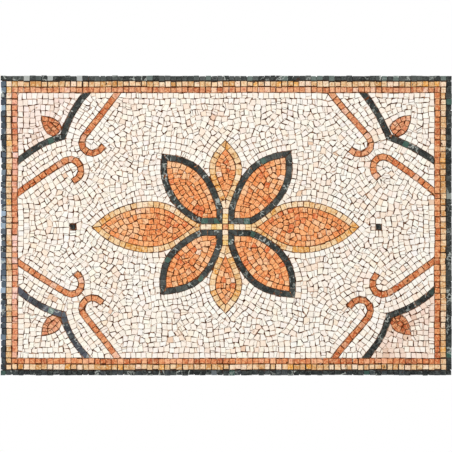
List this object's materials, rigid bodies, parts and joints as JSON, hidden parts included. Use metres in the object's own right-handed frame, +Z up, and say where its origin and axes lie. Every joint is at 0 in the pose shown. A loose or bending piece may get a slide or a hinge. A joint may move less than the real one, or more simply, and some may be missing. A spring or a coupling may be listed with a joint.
{
  "type": "mosaic panel",
  "caption": "Rectangular marble mosaic panel: an outlined petal rosette, corner brackets and hooks in a pale ground, inside three border rows, to be fixed to a wall.",
  "frame": {"origin": "centre of the back face of the bed, where the panel meets the wall", "axes": "+X along the width to the viewer's right, +Y into the wall away from the mosaic's face, +Z up along the height"},
  "size_m": [0.8, 0.01, 0.532],
  "materials": {
    "green_marble": "satin",
    "yellow_marble": "satin",
    "orange_marble": "satin",
    "cream_marble": "satin",
    "bedding": "matte"
  },
  "bodies": {
    "root": {"backing_bed": "bedding", "border_green_top": "green_marble", "border_green_bottom": "green_marble", "border_green_left": "green_marble", "border_green_right": "green_marble", "border_yellow_top": "yellow_marble", "border_yellow_bottom": "yellow_marble", "border_yellow_left": "yellow_marble", "border_yellow_right": "yellow_marble", "border_orange_top": "orange_marble", "border_orange_bottom": "orange_marble", "border_orange_left": "orange_marble", "border_orange_right": "orange_marble", "petal_outline_upper_left": "green_marble", "petal_fill_upper_left": "orange_marble", "petal_outline_upper_right": "green_marble", "petal_fill_upper_right": "orange_marble", "petal_outline_lower_left": "green_marble", "petal_fill_lower_left": "orange_marble", "petal_outline_lower_right": "green_marble", "petal_fill_lower_right": "orange_marble", "long_petal_outline_left": "yellow_marble", "long_petal_fill_left": "orange_marble", "long_petal_outline_right": "yellow_marble", "long_petal_fill_right": "orange_marble", "short_petal_outline_top": "yellow_marble", "short_petal_fill_top": "orange_marble", "short_petal_outline_bottom": "yellow_marble", "short_petal_fill_bottom": "orange_marble", "stem_left": "yellow_marble", "stem_right": "yellow_marble", "stem_top": "yellow_marble", "stem_bottom": "yellow_marble", "centre_tessera": "orange_marble", "hook_top_left": "orange_marble", "hook_left_upper": "orange_marble", "bracket_upper_left": "green_marble", "leaf_upper_left": "orange_marble", "hook_top_right": "orange_marble", "hook_right_upper": "orange_marble", "bracket_upper_right": "green_marble", "leaf_upper_right": "orange_marble", "hook_bottom_left": "orange_marble", "hook_left_lower": "orange_marble", "bracket_lower_left": "green_marble", "leaf_lower_left": "orange_marble", "hook_bottom_right": "orange_marble", "hook_right_lower": "orange_marble", "bracket_lower_right": "green_marble", "leaf_lower_right": "orange_marble", "dot_left": "green_marble", "dot_right": "green_marble", "ground_field": "cream_marble", "ground_corner_upper_right": "cream_marble", "ground_corner_upper_left": "cream_marble", "ground_corner_lower_left": "cream_marble", "ground_corner_lower_right": "cream_marble"}
  },
  "joints": []
}
